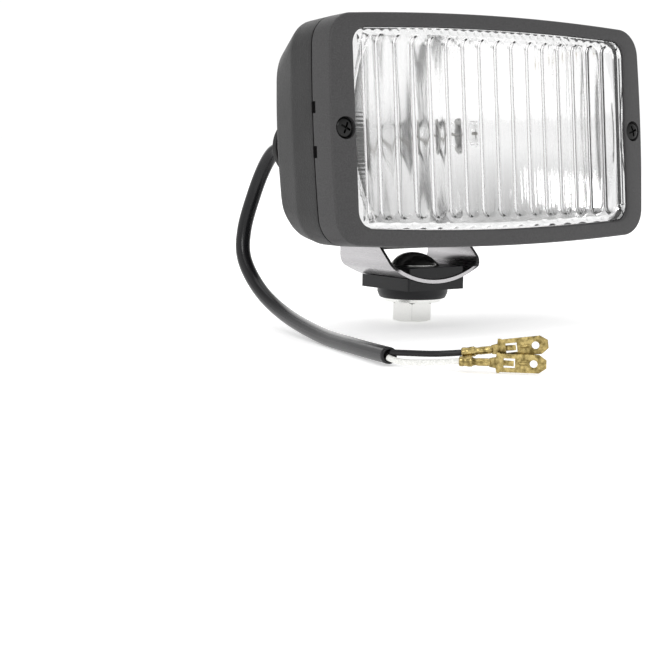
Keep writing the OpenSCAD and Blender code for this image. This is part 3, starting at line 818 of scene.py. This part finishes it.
def mounting_bolt():
    r, rise = 11.2, 5
    ball = (r * r + rise * rise) / (2 * rise)
    reach = acos((ball - rise) / ball)
    peak = SADDLE_TOP + 0.5 + rise
    top = [(ball * sin(a), peak - ball + ball * cos(a)) for a in (reach * k / 16 for k in range(17))]
    thread = []
    pitch, low = 1.5, -9.3
    turns = int((SADDLE_TOP - 1 - low) / pitch)
    for k in range(turns, 0, -1):
        z = low + k * pitch
        thread += [(5, z + 0.1), (5, z - 0.1), (4.35, z - 0.68), (4.35, z - 0.82)]
    rim = [(r, SADDLE_TOP + 0.15), (r - 0.15, SADDLE_TOP), (5, SADDLE_TOP)]
    profile = top + rim + thread + [(4.4, low - 0.1), (0, low - 0.1)]
    finish(lathe(profile, "Z", (0, 0), 128), "carriage_screw", MM, "carriage_bolt", angle=28)
    washer = [(5.3, -1.5), (12.3, -1.5), (12.5, -1.3), (12.5, -0.1), (12.3, 0.1), (5.3, 0.1)]
    finish(lathe(washer, "Z", (0, 0), 128), "plain_washer", MM, "flat_washer", angle=30)
    flats, bottom, seat = 16, -9.9, -1.5
    nut = prism(hexagon(flats, radians(-10.9)), bottom, seat, "Z")
    cone = [(0, -10), (7.6, -10), (9.6, -8.85), (9.6, -2.6), (7.8, -1.4), (0, -1.4)]
    carve(nut, lathe(cone, "Z", (0, 0), 128), op="INTERSECT")
    bore = [(0, -11), (5.6, -11), (5.0, -9.2), (5.0, -2.2), (5.6, -1), (0, -1)]
    carve(nut, lathe(bore, "Z", (0, 0), 64))
    # The bevels take the darker zinc material: painted dark reflection lines on the nut's edges and chamfers.
    finish(nut, "mounting_nut", MM, "hex_nut", bevel=0.42, angle=25, edge="zinc_painted_dark_edge")


# ---------------------------------------------------------------- cable, wires and terminals
SHEATH_ROUTE = [
    (-60.5, 11.5, 62.4), (-60.6, 18.5, 61.2), (-61.1, 24.6, 54.6), (-63.4, 28.4, 43.6),
    (-67.6, 29.2, 29), (-70, 25.5, 17), (-70, 14, 5), (-73, -8, -3),
    (-81, -41, -6.9), (-90.6, -74, -6.9), (-98.4, -102.4, -6.4),
]
WHITE_ROUTE = [(-98.8, -102.2, -7.1), (-97.2, -108, -8), (-92.8, -117.6, -7.4), (-86.8, -125.8, -6.4)]
BLACK_ROUTE = [(-97.8, -102.6, -5.3), (-95, -109, -5), (-90.4, -117.4, -4.6), (-84.4, -124.4, -3.8)]


def smooth(points, steps):
    """The same curve through the points as the CAD's, with more steps."""
    p = [Vector(q) for q in points]
    n, out = len(p), []
    for i in range(n - 1):
        a, b, c, d = p[max(i - 1, 0)], p[i], p[i + 1], p[min(i + 2, n - 1)]
        for j in range(steps):
            t = j / steps
            square, cube = 2 * a - 5 * b + 4 * c - d, 3 * b - a - 3 * c + d
            out.append(0.5 * (2 * b + (c - a) * t + square * t**2 + cube * t**3))
    return out + [p[-1]]


def wire(name, route, node_name, radius):
    return finish(tube(smooth(route, 12), radius, 24, True), name, MM, node_name, angle=60)


def blade(name, node_name, at, tip_up):
    """A 6.3 mm blade: crimped barrel, wings, locking tongue in its window, and a hole near the tip."""
    barrel = [(1.12, 0), (1.55, 0), (1.75, 0.3), (1.75, 1.2), (1.62, 1.6), (1.62, 2.6)]
    barrel += [(1.75, 3.0), (1.75, 4.3), (1.5, 4.6), (1.35, 4.9), (1.2, 5.6), (1.35, 6.4)]
    barrel += [(1.35, 9.8), (1.1, 10.6), (0.4, 10.8), (0.4, 5), (1.12, 4.7)]
    o = lathe(barrel, "X", (0, 0), 40)
    seam = box((-1, -0.12, 1.0), (11, 0.12, 2.2))
    carve(o, seam)
    plate = [(10.2, -1.5), (12.4, -1.9), (12.7, -3.5), (13.6, -3.5), (13.9, -3.15), (27, -3.15), (29.5, -1.4)]
    plate += [(x, -z) for x, z in plate[::-1]]
    flat = prism(plate, -0.4, 0.4, "Y")
    window = [(15.1, -1.6), (18.9, -1.6), (18.9, 1.6), (15.1, 1.6)]
    carve(flat, prism(window, -2, 2, "Y"), rod(1.3, -2, 2, "Y", (25.2, 0), 40))
    tongue = [(15.0, 0.1), (15.0, 0.4), (18.5, -0.75), (18.6, -1.05)]
    rings = [[(x, y, z) for x, y in tongue] for z in (-0.95, 0.95)]
    flat = join(flat, loft(rings))
    ridge = [(0, 19.8), (0.5, 20.1), (0.62, 21.0), (0.62, 22.6), (0.5, 23.3), (0, 23.6)]
    rib = lathe(ridge, "X", (-0.2, 0), 24)
    turn = (
        Matrix.Translation(Vector(at))
        @ Matrix.Rotation(radians(-47.7), 4, "Z")
        @ Matrix.Rotation(radians(-tip_up), 4, "Y")
    )
    return finish(join(o, flat, rib), name, MM @ turn, node_name, bevel=0.09, angle=30)


def cable():
    fine = smooth(SHEATH_ROUTE, 12)
    sheath = tube(fine, 3.0, 32, True)
    end, along = fine[-1], (fine[-1] - fine[-2]).normalized()
    hollow = tube([end - along * 2.2, end + along * 2], 2.35, 24)
    carve(sheath, hollow)
    sheath = finish(sheath, "sheath", MM, "cable_sheath", angle=50)
    parts = [
        wire("lead_black", BLACK_ROUTE, "wire_black", 1.1),
        wire("lead_white", WHITE_ROUTE, "wire_white", 1.1),
        blade("blade_black", "terminal_black", (-84.5, -124.4, -3.8), 8),
        blade("blade_white", "terminal_white", (-86.9, -125.8, -6.4), 0),
    ]
    path = [p / 1000 for p in smooth(SHEATH_ROUTE, 4)]


cable()
front_frame()
lens()
reflector()
bulb()
rear_housing()
frame_screws()
pivot_bolts()
vent()
grommet()
bracket()
saddles()
mounting_bolt()


# ---------------------------------------------------------------- stage and light
def floor():
    me = bpy.data.meshes.new("floor")
    bm = bmesh.new()
    bmesh.ops.create_grid(bm, x_segments=1, y_segments=1, size=6)
    bm.to_mesh(me)
    bm.free()
    o = bpy.data.objects.new("floor", me)
    o.location.z = cad_bounds[0][2] - 0.0002
    bpy.context.collection.objects.link(o)
    m, nt, p = tree("floor")
    p.inputs["Base Color"].default_value = (0.94, 0.94, 0.94, 1)
    p.inputs["Roughness"].default_value = 0.9
    p.inputs["Emission Color"].default_value = (1, 1, 1, 1)
    p.inputs["Emission Strength"].default_value = 0.4
    me.materials.append(m)


def area(name, at, target, size, power):
    d = bpy.data.lights.new(name, "AREA")
    d.shape = "RECTANGLE"
    d.size, d.size_y = size
    d.energy = power
    o = bpy.data.objects.new(name, d)
    o.location = at
    o.rotation_euler = (Vector(target) - Vector(at)).to_track_quat("-Z", "Y").to_euler()
    bpy.context.collection.objects.link(o)


floor()
area("key", (-1.5, -1.2, 1.5), (0, 0, 0.05), (0.7, 0.7), 9)
area("top", (0.2, 0.2, 1.9), (0, 0, 0.05), (1.8, 1.8), 10)
area("left", (-2.0, 0.6, 0.8), (0, 0, 0.05), (1.0, 1.4), 0.8)
area("back", (0.8, 2.0, 1.0), (0, 0, 0.05), (1.6, 1.2), 6)
world = bpy.data.worlds.new("studio")
world.use_nodes = True
sky = world.node_tree.nodes.new("ShaderNodeTexCoord")
height = world.node_tree.nodes.new("ShaderNodeSeparateXYZ")
fade = world.node_tree.nodes.new("ShaderNodeMapRange")
for socket, value in (("From Min", 0.25), ("From Max", 0.8), ("To Min", 1.04), ("To Max", 0.5)):
    fade.inputs[socket].default_value = value
link(world.node_tree, sky, "Generated", height, "Vector")
link(world.node_tree, height, "Z", fade, "Value")
link(world.node_tree, fade, "Result", world.node_tree.nodes["Background"], "Color")
bpy.context.scene.world = world
bpy.context.scene.view_settings.view_transform = "Standard"
